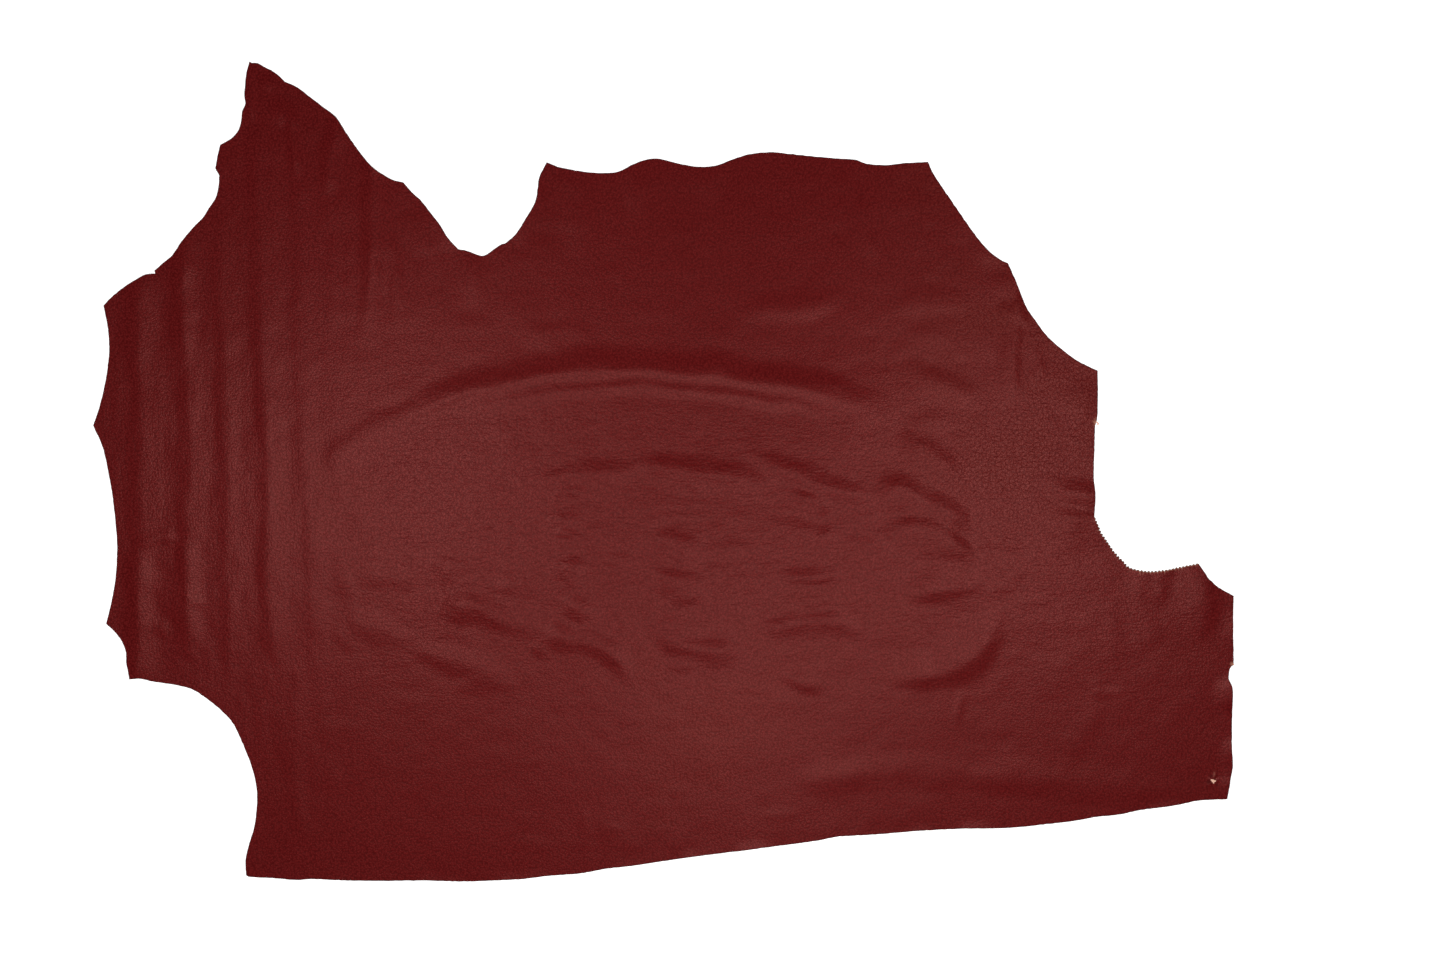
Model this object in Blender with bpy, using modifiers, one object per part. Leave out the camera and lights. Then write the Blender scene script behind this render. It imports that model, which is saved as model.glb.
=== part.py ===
"""A side of cowhide leather, cut along the back line and laid out grain side up.

It is one sheet of even thickness. It lies flat on its flesh side, apart from
the soft folds that it keeps from having been rolled and stacked: upright waves
along the hind end, long arches over the middle and short wrinkles inside them.

Metres, +Z up. +X runs along the back from the hind end to the neck, +Y from
the back line to the belly. The origin is under the middle of the sheet.
"""

import math
from collections import namedtuple

import bmesh
import bpy
import numpy as np

# ---------------------------------------------------------------- sizes

UNIT = 0.0016  # m in one drafting unit of the tables below
THICKNESS = 0.0014  # m, finished leather
EDGE_STEP = 17.0  # units between points along the cut edge
LEAST_STEP = 1.6  # units: points nearer than this are made one

# The drafting sheet counts units to the right and down. These are the middle
# of the outline's box there.
MIDDLE_X = 663.5
MIDDLE_Y = 471.4

# Lattice of facets: where a band starts, where it ends, and its step, in units.
Band = namedtuple("Band", "start end step")
COLUMNS = (
    # foot and crest of each upright wave, then the rest of the hide
    Band(94.5, 120.0, 12.7),
    Band(120.0, 137.0, 8.5),
    Band(137.0, 169.0, 16.0),
    Band(169.0, 187.0, 9.0),
    Band(187.0, 211.0, 12.0),
    Band(211.0, 226.0, 7.5),
    Band(226.0, 251.0, 12.5),
    Band(251.0, 265.0, 7.0),
    Band(265.0, 340.0, 18.0),
    Band(340.0, 1050.0, 23.0),
    Band(1050.0, 1234.0, 18.4),
)
ROWS = (
    Band(62.0, 334.0, 34.0),
    Band(334.0, 500.0, 11.0),
    Band(500.0, 692.0, 14.0),
    Band(692.0, 882.0, 31.0),
)

# ---------------------------------------------------------------- outline

# Each row is one cut of the edge, clockwise from the tip of the hind leg. The
# knife starts at a corner and passes the places in "by" on its smooth way to
# the next row's corner.
Cut = namedtuple("Cut", "name corner by")
CUTS = (
    Cut("leg_front", (249.6, 61.6), ((256.6, 62.9), (272.0, 70.7), (285.0, 81.7), (298.3, 88.0), (321.1, 105.4), (339.4, 121.5), (360.1, 152.5), (380.8, 173.2))),
    Cut("flank", (403.3, 182.4), ((420.6, 200.0), (439.5, 224.2))),
    Cut("flank_notch", (458.2, 249.2), ((480.4, 255.8), (500.8, 244.8), (516.1, 233.9), (535.2, 202.0), (539.0, 177.8))),
    Cut("belly_rear", (546.7, 162.4), ((573.5, 170.1), (609.2, 172.9), (634.7, 163.7), (657.7, 158.6), (701.0, 167.0), (731.6, 159.9), (771.0, 152.2), (826.3, 157.7))),
    Cut("belly_front", (855.7, 159.7), ((867.1, 163.8), (887.6, 165.1))),
    Cut("armpit_upper", (927.9, 162.0), ((953.9, 204.6), (974.3, 233.9), (989.6, 251.8))),
    Cut("armpit_lower", (1008.0, 263.3), ((1022.8, 299.0), (1047.0, 336.0), (1066.1, 352.8))),
    Cut("shank_upper", (1097.6, 370.7), ((1097.0, 419.9),)),
    Cut("shank_lower", (1095.0, 425.8), ((1093.8, 477.8),)),
    Cut("pinked_bay", (1094.0, 517.0), ((1101.0, 533.2), (1111.9, 549.1), (1123.4, 561.9), (1134.8, 569.5), (1149.5, 571.7), (1180.0, 567.3))),
    Cut("neck_bevel", (1198.5, 563.7), ()),
    Cut("neck_shoulder", (1209.5, 579.8), ((1218.0, 587.0),)),
    Cut("neck_upper", (1233.5, 595.8), ((1233.0, 626.0),)),
    Cut("neck_lower", (1233.6, 664.8), ((1228.6, 675.5), (1232.4, 690.0), (1231.6, 748.5), (1229.1, 787.9))),
    Cut("back_line", (1227.1, 799.2), ((1206.8, 800.0), (1178.9, 804.7), (1120.3, 814.3), (1046.1, 824.2), (964.5, 828.6), (872.7, 834.7), (814.0, 841.1), (704.0, 855.4), (607.0, 868.7), (522.9, 878.9), (466.7, 881.4), (377.2, 880.9), (312.1, 878.9))),
    Cut("tail_bay", (246.3, 875.1), ((248.4, 847.0), (256.5, 815.0), (257.0, 792.1), (249.6, 760.3), (233.1, 723.3), (207.6, 699.0), (173.1, 684.5))),
    Cut("rump_lower", (129.7, 679.4), ((125.9, 651.3), (115.7, 632.7))),
    Cut("rump_middle", (106.3, 623.8), ((115.7, 577.9), (116.0, 525.9), (108.7, 473.2))),
    Cut("rump_upper", (93.4, 425.5), ((106.8, 374.7), (108.7, 335.5))),
    Cut("hock_lower", (103.6, 305.8), ((124.0, 287.3), (138.5, 278.3))),
    Cut("hock_upper", (154.6, 272.0), ((173.0, 254.7), (186.8, 235.2), (202.8, 217.9), (215.5, 198.4))),
    Cut("leg_nick", (219.4, 175.5), ()),
    Cut("leg_step", (215.4, 168.2), ()),
    Cut("leg_back", (220.3, 145.0), ((231.5, 138.5), (241.0, 122.8), (245.3, 104.5), (246.3, 75.0))),
)

# ---------------------------------------------------------------- folds

# Each row is one fold. "crest" is its line on the sheet, in units, "rise" its
# height in mm, "outer" and "inner" how far it spreads to the left and to the
# right of the crest's direction, in units, "crisp" how sharp the crest is, from
# 0, round, to 1, creased, and "fade" how long each end takes to run out.
Fold = namedtuple("Fold", "name crest rise outer inner crisp fade")
FOLDS = (
    # upright waves of the hind end
    Fold("wave_1", ((138, 700), (138, 640), (138, 590), (140, 540), (142, 480), (141, 400), (139.5, 330), (140, 250)), 1.2, 19, 27, 0.1, 44),
    Fold("wave_1_low", ((139, 700), (138, 650), (138, 610), (139, 545)), 1.5, 15, 22, 0.5, 40),
    Fold("wave_2", ((192, 662), (188, 620), (187.5, 590), (188, 540), (190, 480), (188, 400), (185, 340), (184, 290), (183, 225)), 1.1, 17, 22, 0.3, 40),
    Fold("wave_2_low", ((191, 660), (187.5, 610), (188, 535)), 1.1, 18, 20, 0.2, 30),
    Fold("wave_2_top", ((187, 370), (184, 300), (183, 225)), 1.3, 22, 14, 0.3, 40),
    Fold("wave_3", ((230, 700), (230, 640), (229, 590), (228.5, 540), (228.5, 480), (227, 420), (225, 340), (222, 260), (221, 180)), 0.75, 14, 19, 0.25, 60),
    Fold("wave_4", ((282, 684), (276, 655), (271.5, 630), (270, 600), (269, 560), (268.5, 520), (268, 480), (266, 430), (263, 370), (261, 320), (260, 250), (260, 200), (258, 150), (256, 96)), 1.2, 15, 28, 0.3, 60),
    Fold("wave_6", ((332, 200), (328, 172), (329, 152), (335, 134), (334, 104)), 1.6, 13, 15, 0.4, 24),
    Fold("wave_7", ((362, 350), (371, 290), (375, 235), (375, 185), (370, 120), (366, 60)), 2.3, 18, 22, 0.2, 90),
    # arches over the middle
    Fold("great_arch", ((392, 424), (418, 411.5), (450, 398.5), (500, 385), (550, 374.5), (600, 370.5), (650, 370), (700, 373.5), (750, 381), (800, 389.5), (850, 402), (885, 416), (912, 432)), 1.35, 30, 130, 0.1, 75),
    Fold("great_step", ((386, 427), (410, 415.5), (450, 398.5), (500, 385), (550, 374), (600, 370), (650, 369.6), (700, 373), (750, 380.5), (800, 389.5), (850, 402), (880, 414)), 1.75, 25, 20, 0.25, 62),
    Fold("second_step", ((440, 421), (470, 411), (500, 403), (550, 393), (600, 388), (650, 387), (700, 391), (750, 397.5), (800, 406.5), (850, 419)), 1.15, 36, 16, 0.2, 76),
    Fold("arch_start", ((318, 466), (348, 446), (370, 432), (396, 420), (426, 408)), 1.3, 19, 30, 0.0, 34),
    Fold("arch_tail", ((894, 433), (925, 452), (945, 464), (968, 481)), 1.7, 17, 22, 0.1, 34),
    Fold("second_arch_left", ((530, 480), (565, 478), (600, 473), (642, 467)), 1.8, 17, 22, 0.1, 36),
    Fold("second_arch", ((628, 462), (655, 468), (680, 471), (705, 473.5), (730, 478), (772, 485)), 2.4, 20, 23, 0.2, 40),
    Fold("second_under", ((658, 485), (685, 484), (716, 489)), 1.0, 8, 14, 0.2, 22),
    Fold("third_arch", ((746, 456), (775, 466), (800, 475.5), (825, 485.5), (850, 492.5), (884, 495)), 2.4, 18, 19, 0.2, 40),
    Fold("third_under", ((788, 491), (808, 498), (838, 508)), 2.1, 9, 20, 0.3, 18),
    Fold("fourth_arch", ((876, 477), (905, 491), (930, 503), (950, 514), (974, 531)), 2.7, 18, 34, 0.2, 26),
    Fold("fourth_under", ((894, 524), (918, 526), (938, 533), (955, 542), (978, 558)), 3.1, 15, 34, 0.2, 30),
    # shoulder, elbow and shank
    Fold("shoulder_1", ((728, 318), (765, 311), (800, 306), (852, 298)), 1.4, 22, 20, 0.0, 50),
    Fold("shoulder_3", ((898, 364), (922, 375), (945, 386), (966, 395), (990, 406)), 1.4, 18, 20, 0.1, 40),
    Fold("elbow_crease", ((1012, 410), (1015, 350), (1017, 285)), 1.3, 22, 10, 0.1, 34),
    Fold("shank_fold_1", ((1034, 480), (1056, 486), (1074, 494), (1130, 496)), 2.5, 18, 36, 0.2, 46),
    Fold("shank_fold_2", ((1040, 512), (1072, 517), (1130, 520)), 3.1, 15, 40, 0.2, 40),
    # wrinkles inside the arches, above the middle
    Fold("middle_1", ((540, 521), (565, 519), (592, 520)), 1.2, 10, 16, 0.1, 24),
    Fold("middle_3", ((648, 532), (672, 539), (690, 545), (712, 553)), 1.8, 13, 26, 0.2, 28),
    Fold("middle_4", ((704, 549), (728, 547), (760, 549)), 1.0, 8, 16, 0.2, 26),
    Fold("middle_5", ((544, 566), (570, 566), (598, 568)), 1.7, 12, 30, 0.1, 26),
    Fold("middle_6", ((424, 563), (455, 564), (488, 569)), 1.1, 12, 34, 0.1, 28),
    Fold("middle_7", ((648, 572), (675, 580), (692, 584.5), (714, 583)), 2.3, 14, 26, 0.1, 26),
    Fold("middle_8", ((664, 599), (688, 597), (712, 598)), 1.2, 9, 12, 0.1, 18),
    Fold("middle_9", ((782, 523), (802, 531), (822, 537), (846, 539)), 1.1, 11, 16, 0.1, 24),
    # wrinkles inside the arches, below the middle
    Fold("lower_1", ((512, 622), (492, 613), (472, 607), (453, 608), (434, 617)), 2.6, 21, 20, 0.1, 28),
    Fold("lower_1_tail", ((566, 630), (536, 625), (512, 621), (486, 611)), 1.1, 20, 22, 0.1, 32),
    Fold("lower_2", ((632, 688), (620, 664), (606, 649), (588, 640.5), (570, 637), (550, 638), (526, 648)), 2.3, 18, 20, 0.2, 44),
    Fold("lower_3", ((412, 654), (398, 638), (380, 629), (360, 627), (338, 636)), 1.0, 18, 20, 0.1, 40),
    Fold("lower_4", ((524, 696), (502, 679), (476, 669), (450, 660), (425, 650), (406, 643)), 1.35, 19, 20, 0.1, 44),
    Fold("lower_5", ((752, 656), (724, 652.5), (702, 649), (682, 643), (662, 636), (640, 631)), 1.9, 20, 16, 0.1, 40),
    Fold("lower_6", ((606, 613), (582, 610), (556, 598)), 1.8, 16, 17, 0.05, 26),
    Fold("lower_7", ((722, 630), (690, 627), (664, 624), (640, 622)), 1.0, 12, 15, 0.1, 34),
    Fold("lower_8", ((828, 690), (802, 682), (776, 672)), 1.3, 13, 16, 0.1, 26),
    Fold("lower_9", ((850, 603), (822, 601), (798, 603), (770, 612)), 1.0, 13, 20, 0.1, 34),
    Fold("lower_10", ((868, 640), (848, 625), (828, 620.5), (806, 622.5), (784, 625), (746, 632)), 2.3, 22, 15, 0.2, 40),
    Fold("lower_11", ((770, 577), (812, 577), (848, 575)), 1.0, 12, 10, 0.1, 30),
    Fold("lower_13", ((992, 581), (964, 588), (938, 591), (892, 592)), 1.8, 14, 28, 0.2, 40),
    # crescent before the neck, and the ridge along the back line
    Fold("crescent", ((998, 602), (991, 630), (981, 647), (968, 660), (954, 668), (935, 675), (905, 676), (884, 673)), 2.3, 20, 36, 0.2, 46),
    # neck
    Fold("neck_1", ((1160, 550), (1161, 575), (1160, 606)), 1.15, 16, 24, 0.3, 20),
    Fold("neck_2", ((1202, 552), (1204, 580), (1204, 610), (1200, 648)), 1.9, 22, 42, 0.2, 40),
)

TEAR_AT = (1213.0, 780.8)  # units, middle of the small torn hole by the neck
TEAR_LENGTH = 0.0062  # m
TEAR_WIDTH = 0.0042  # m
TEAR_TURN = math.radians(-20)

# ---------------------------------------------------------------- working out


def smooth_line(stops, step):
    """Points along a smooth curve through the stops, about one step apart."""
    stops = [np.array(s, float) for s in stops]
    if len(stops) == 2:
        knots = [stops[0], stops[0], stops[1], stops[1]]
    else:
        knots = [2 * stops[0] - stops[1], *stops, 2 * stops[-1] - stops[-2]]
    points = []
    for before, start, end, after in zip(knots, knots[1:], knots[2:], knots[3:]):
        length = np.linalg.norm(end - start)
        count = max(1, round(length / step))
        # Tangents scaled by the neighbours' lengths keep short spans calm.
        back = max(np.linalg.norm(start - before), 1e-6)
        ahead = max(np.linalg.norm(after - end), 1e-6)
        leave = (end - before) * length / (length + back)
        arrive = (after - start) * length / (length + ahead)
        for k in range(count):
            t = k / count
            points.append(
                (2 * t**3 - 3 * t**2 + 1) * start
                + (t**3 - 2 * t**2 + t) * leave
                + (3 * t**2 - 2 * t**3) * end
                + (t**3 - t**2) * arrive
            )
    return [*points, stops[-1]]


def outline():
    """The closed cut edge, in units, clockwise on the drafting sheet."""
    points = []
    for cut, after in zip(CUTS, CUTS[1:] + CUTS[:1]):
        points += smooth_line([cut.corner, *cut.by, after.corner], EDGE_STEP)[:-1]
    return points


def profile(t, crisp):
    """A fold's height across it, from 1 at the crest to 0 at t = 1."""
    t = np.clip(t, 0, 1)
    return (1 - crisp) * np.cos(t * math.pi / 2) ** 2 + crisp * (1 - t) ** 2


def fold_height(fold, x, y):
    """Height of one fold at places given in units, in metres."""
    line = np.array(smooth_line(fold.crest, 12.0))
    starts, ways = line[:-1], np.diff(line, axis=0)
    lengths = np.hypot(*ways.T)
    along = np.concatenate([[0], np.cumsum(lengths)])
    nearest = np.full(x.shape, np.inf)
    side = np.ones(x.shape)
    travelled = np.zeros(x.shape)
    for (sx, sy), (wx, wy), length, before in zip(starts, ways, lengths, along):
        t = np.clip(((x - sx) * wx + (y - sy) * wy) / length**2, 0, 1)
        away = np.hypot(x - sx - t * wx, y - sy - t * wy)
        closer = away < nearest
        nearest = np.where(closer, away, nearest)
        side = np.where(closer, wx * (y - sy) - wy * (x - sx), side)
        travelled = np.where(closer, before + t * length, travelled)
    spread = np.where(side < 0, fold.outer, fold.inner)
    to_end = np.minimum(travelled, along[-1] - travelled)
    ends = np.clip(to_end / fold.fade, 0, 1)
    ends = ends * ends * (3 - 2 * ends)
    return 0.001 * fold.rise * ends * profile(nearest / spread, fold.crisp)


def height(x, y):
    """How far the flesh side stands off what the sheet lies on, in metres."""
    return sum(fold_height(fold, x, y) for fold in FOLDS)


def cuts_of(bands):
    """Where the lattice lines run, from the bands' starts, ends and steps."""
    places = []
    for band in bands:
        count = max(1, round((band.end - band.start) / band.step))
        places += [band.start + (band.end - band.start) * k / count for k in range(count)]
    return places[1:]


# ---------------------------------------------------------------- building


def flat_outline(collection):
    """The outline as a filled 2D curve, made a flat mesh."""
    curve = bpy.data.curves.new("hide_outline", "CURVE")
    curve.dimensions = "2D"
    curve.fill_mode = "BOTH"
    spline = curve.splines.new("POLY")
    points = outline()
    spline.points.add(len(points) - 1)
    for place, (x, y) in zip(spline.points, points):
        place.co = ((x - MIDDLE_X) * UNIT, (MIDDLE_Y - y) * UNIT, 0, 1)
    spline.use_cyclic_u = True
    guide = bpy.data.objects.new("hide_outline", curve)
    collection.objects.link(guide)
    bpy.context.view_layer.update()
    mesh = bpy.data.meshes.new_from_object(guide.evaluated_get(bpy.context.evaluated_depsgraph_get()))
    bpy.data.objects.remove(guide)
    return mesh


def lay_folds(mesh):
    """Cuts the flat mesh into the lattice and lifts it onto the folds."""
    bm = bmesh.new()
    bm.from_mesh(mesh)
    bmesh.ops.remove_doubles(bm, verts=bm.verts, dist=1e-5)
    inner = [edge for edge in bm.edges if len(edge.link_faces) == 2]
    bmesh.ops.dissolve_edges(bm, edges=inner, use_verts=False)
    for bands, middle, sign, axis in (
        (COLUMNS, MIDDLE_X, 1, (1, 0, 0)),
        (ROWS, MIDDLE_Y, -1, (0, 1, 0)),
    ):
        for place in cuts_of(bands):
            at = sign * (place - middle) * UNIT
            bmesh.ops.bisect_plane(
                bm,
                geom=bm.verts[:] + bm.edges[:] + bm.faces[:],
                plane_co=[at * part for part in axis],
                plane_no=axis,
                dist=1e-6,
            )
    bmesh.ops.remove_doubles(bm, verts=bm.verts, dist=LEAST_STEP * UNIT)
    bmesh.ops.triangulate(bm, faces=bm.faces, quad_method="BEAUTY", ngon_method="BEAUTY")
    bmesh.ops.recalc_face_normals(bm, faces=bm.faces)
    if sum(face.normal.z for face in bm.faces) < 0:
        bmesh.ops.reverse_faces(bm, faces=bm.faces)
    # An ear folded back over the sheet, where near points became one, comes off.
    bm.normal_update()
    ears = [face for face in bm.faces if face.normal.z < 0.5]
    bmesh.ops.delete(bm, geom=ears, context="FACES")
    x = np.array([vert.co.x for vert in bm.verts]) / UNIT + MIDDLE_X
    y = MIDDLE_Y - np.array([vert.co.y for vert in bm.verts]) / UNIT
    for vert, z in zip(bm.verts, height(x, y)):
        vert.co.z = z
    bm.to_mesh(mesh)
    bm.free()


def tear_cutter(collection):
    """The small torn hole, as an uneven six-sided post through the sheet."""
    bm = bmesh.new()
    bmesh.ops.create_cone(
        bm, cap_ends=True, segments=6, radius1=0.5, radius2=0.5, depth=0.03
    )
    for vert in bm.verts:
        # one side of the hole is pulled in, so it isn't a round punch
        pull = 0.72 if vert.co.y > 0.1 and vert.co.x > 0 else 1.0
        vert.co.x *= TEAR_LENGTH * pull
        vert.co.y *= TEAR_WIDTH
    mesh = bpy.data.meshes.new("tear_cutter")
    bm.to_mesh(mesh)
    bm.free()
    cutter = bpy.data.objects.new("tear_cutter", mesh)
    cutter.location = (
        (TEAR_AT[0] - MIDDLE_X) * UNIT,
        (MIDDLE_Y - TEAR_AT[1]) * UNIT,
        0,
    )
    cutter.rotation_euler = (0, 0, TEAR_TURN)
    cutter.hide_render = True
    cutter.display_type = "WIRE"
    collection.objects.link(cutter)
    return cutter


def leather():
    """Burgundy aniline leather with a low satin finish."""
    material = bpy.data.materials.new("leather")
    material.use_nodes = True
    shader = material.node_tree.nodes["Principled BSDF"]
    shader.inputs["Base Color"].default_value = (0.13, 0.017, 0.019, 1)
    shader.inputs["Roughness"].default_value = 0.5
    shader.inputs["Metallic"].default_value = 0
    return material


def main():
    for old in list(bpy.data.objects):
        bpy.data.objects.remove(old)
    part = bpy.data.collections.new("cowhide_leather_piece")
    cutters = bpy.data.collections.new("cutters")
    for collection in (part, cutters):
        bpy.context.scene.collection.children.link(collection)

    mesh = flat_outline(cutters)
    mesh.name = "hide"
    lay_folds(mesh)
    mesh.materials.clear()
    mesh.materials.append(leather())
    hide = bpy.data.objects.new("hide", mesh)
    part.objects.link(hide)

    sheet = hide.modifiers.new("thickness", "SOLIDIFY")
    sheet.thickness = THICKNESS
    sheet.offset = 1  # the flesh side stays where the folds put it
    sheet.use_even_offset = True

    tear = hide.modifiers.new("tear", "BOOLEAN")
    tear.operation = "DIFFERENCE"
    tear.solver = "EXACT"
    tear.object = tear_cutter(cutters)
    mesh.shade_smooth()


main()
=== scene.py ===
"""Looks of a side of burgundy pebble-grain cowhide, laid flat grain side up.

The sheet is one closed mesh: a fine grain side, a coarser flesh side and the
cut edge between them. Every fold is a row of a table below, given in drafting
units of 1.6 mm that run right and down from the top left of the sheet's plan.
"""

import math
from collections import namedtuple

import bpy
import numpy as np
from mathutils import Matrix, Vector
from mathutils.geometry import delaunay_2d_cdt


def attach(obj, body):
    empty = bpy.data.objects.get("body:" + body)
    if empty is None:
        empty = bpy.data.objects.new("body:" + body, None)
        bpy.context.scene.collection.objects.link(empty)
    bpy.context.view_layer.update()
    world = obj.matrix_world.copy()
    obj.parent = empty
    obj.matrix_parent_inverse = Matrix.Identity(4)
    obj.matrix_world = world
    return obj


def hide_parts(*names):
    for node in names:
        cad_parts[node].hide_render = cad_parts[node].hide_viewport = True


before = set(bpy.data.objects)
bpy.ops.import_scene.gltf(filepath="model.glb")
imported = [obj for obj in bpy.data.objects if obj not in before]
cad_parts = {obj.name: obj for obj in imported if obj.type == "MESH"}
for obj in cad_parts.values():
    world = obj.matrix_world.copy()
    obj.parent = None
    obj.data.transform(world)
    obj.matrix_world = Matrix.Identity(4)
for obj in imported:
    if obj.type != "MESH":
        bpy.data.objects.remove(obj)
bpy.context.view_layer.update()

# ---------------------------------------------------------------- sizes

UNIT = 0.0016
MIDDLE_X = 663.5
MIDDLE_Y = 471.4
THICKNESS = 0.0014
FINE = 3.3  # units between the grain side's points
EDGE_STEP = 3.0
PINK_PITCH = 3.5
PINK_DEPTH = 1.5
EDGE_ROUND = 0.55  # units, how far in the cut edge is worn round

# ---------------------------------------------------------------- outline
# (corner, places that the knife passes on its way to the next row's corner)
CUTS = (
    ("leg_front", (249.6, 61.6), ((251.5, 63.2), (256.6, 62.9), (259.7, 64.4), (265.8, 67.8), (272.0, 70.7), (280.6, 77.2), (285.0, 81.7), (291.3, 84.3), (298.3, 88.0), (310.0, 97.0), (321.1, 105.4), (334.8, 115.8), (339.4, 121.5), (348.6, 136.4), (360.1, 152.5), (371.6, 166.3), (380.8, 173.2), (393.4, 180.1))),
    ("flank", (403.3, 182.4), ((412.8, 193.1), (420.6, 200.0), (428.1, 209.6), (439.5, 224.2), (448.5, 238.5))),
    ("flank_notch", (458.2, 249.2), ((467.6, 251.0), (480.4, 255.8), (485.5, 255.1), (500.8, 244.8), (505.9, 242.8), (516.1, 233.9), (525.0, 219.8), (535.2, 202.0), (537.8, 188.0), (539.0, 177.8))),
    ("belly_rear", (546.7, 162.4), ((558.2, 166.8), (573.5, 170.1), (588.8, 172.4), (609.2, 172.9), (619.4, 171.4), (634.7, 163.7), (647.4, 159.4), (657.7, 158.6), (667.9, 160.9), (683.2, 164.7), (701.0, 167.0), (716.3, 165.5), (731.6, 159.9), (746.9, 154.8), (771.0, 152.2), (790.0, 154.0), (826.3, 157.7))),
    ("belly_front", (855.7, 159.7), ((867.1, 163.8), (887.6, 165.1), (902.9, 163.3))),
    ("armpit_upper", (927.9, 162.0), ((933.5, 174.0), (953.9, 204.6), (974.3, 233.9), (989.6, 251.8), (999.8, 259.4))),
    ("armpit_lower", (1008.0, 263.3), ((1015.1, 279.8), (1022.8, 299.0), (1026.6, 307.9), (1035.5, 320.7), (1047.0, 336.0), (1066.1, 352.8), (1080.0, 362.2))),
    ("shank_upper", (1097.6, 370.7), ((1097.8, 397.0), (1097.0, 419.9))),
    ("shank_lower", (1095.0, 425.8), ((1094.3, 450.2), (1093.8, 477.8), (1095.2, 496.1))),
    ("pinked_bay", (1094.0, 517.0), ((1096.9, 523.6), (1101.0, 533.2), (1107.4, 542.4), (1111.9, 549.1), (1117.6, 556.1), (1123.4, 561.9), (1127.2, 566.3), (1134.8, 569.5), (1149.5, 571.7), (1166.1, 570.2), (1180.0, 567.3))),
    ("neck_bevel", (1198.5, 563.7), ((1204.5, 572.5),)),
    ("neck_shoulder", (1209.5, 579.8), ((1218.0, 587.0),)),
    ("neck_upper", (1233.5, 595.8), ((1233.0, 626.0),)),
    ("neck_nick", (1233.6, 664.8), ((1230.2, 667.6), (1228.6, 675.5), (1228.4, 679.5), (1231.0, 684.0), (1232.4, 690.0))),
    ("neck_lower", (1232.2, 708.4), ((1231.8, 729.4), (1231.6, 748.5), (1232.7, 764.4), (1230.4, 779.0), (1229.1, 787.9))),
    ("back_line", (1227.1, 799.2), ((1215.7, 799.6), (1206.8, 800.0), (1193.3, 801.4), (1178.9, 804.7), (1156.7, 807.9), (1139.7, 810.1), (1120.3, 814.3), (1096.0, 817.0), (1074.4, 820.9), (1046.1, 824.2), (1007.9, 827.9), (964.5, 828.6), (918.6, 830.9), (872.7, 834.7), (839.5, 836.5), (814.0, 841.1), (765.5, 847.5), (747.0, 850.0), (704.0, 855.4), (660.6, 861.5), (637.7, 865.1), (607.0, 868.7), (579.0, 873.5), (548.4, 875.8), (522.9, 878.9), (466.7, 881.4), (424.4, 880.4), (377.2, 880.9), (340.2, 880.2), (312.1, 878.9), (296.8, 879.9), (273.9, 878.1), (248.4, 876.6))),
    ("tail_bay", (246.3, 875.1), ((245.8, 859.7), (248.4, 847.0), (254.7, 825.3), (257.0, 804.9), (257.0, 792.1), (254.7, 776.8), (249.6, 760.3), (240.7, 738.6), (233.1, 723.3), (222.9, 711.8), (207.6, 699.0), (192.2, 689.3), (173.1, 684.5), (154.0, 681.7), (139.9, 678.6))),
    ("rump_lower", (129.7, 679.4), ((126.7, 662.0), (125.9, 651.3), (122.1, 641.6), (115.7, 632.7))),
    ("rump_middle", (106.3, 623.8), ((111.9, 600.8), (115.7, 577.9), (117.3, 548.0), (116.0, 525.9), (112.9, 497.2), (108.7, 473.2), (103.0, 447.4))),
    ("rump_upper", (93.4, 425.5), ((100.7, 403.4), (106.8, 374.7), (109.3, 351.7), (108.7, 335.5), (106.8, 321.1))),
    ("hock_lower", (103.6, 305.8), ((112.5, 296.3), (124.0, 287.3), (138.5, 278.3), (146.6, 274.2))),
    ("hock_nick", (155.3, 273.7), ()),
    ("hock_upper", (154.6, 270.7), ((165.0, 261.6), (173.0, 254.7), (179.9, 244.3), (186.8, 235.2), (195.9, 224.8), (202.8, 217.9), (208.6, 208.8), (215.5, 198.4), (218.6, 187.0))),
    ("leg_nick", (219.4, 175.5), ()),
    ("leg_step", (215.4, 168.2), ((218.5, 151.8),)),
    ("leg_back", (220.3, 145.0), ((231.5, 138.5), (238.4, 130.7), (241.0, 122.8), (242.4, 111.0), (245.3, 104.5), (244.6, 96.0), (245.2, 85.0), (246.3, 75.0))),
)

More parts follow.
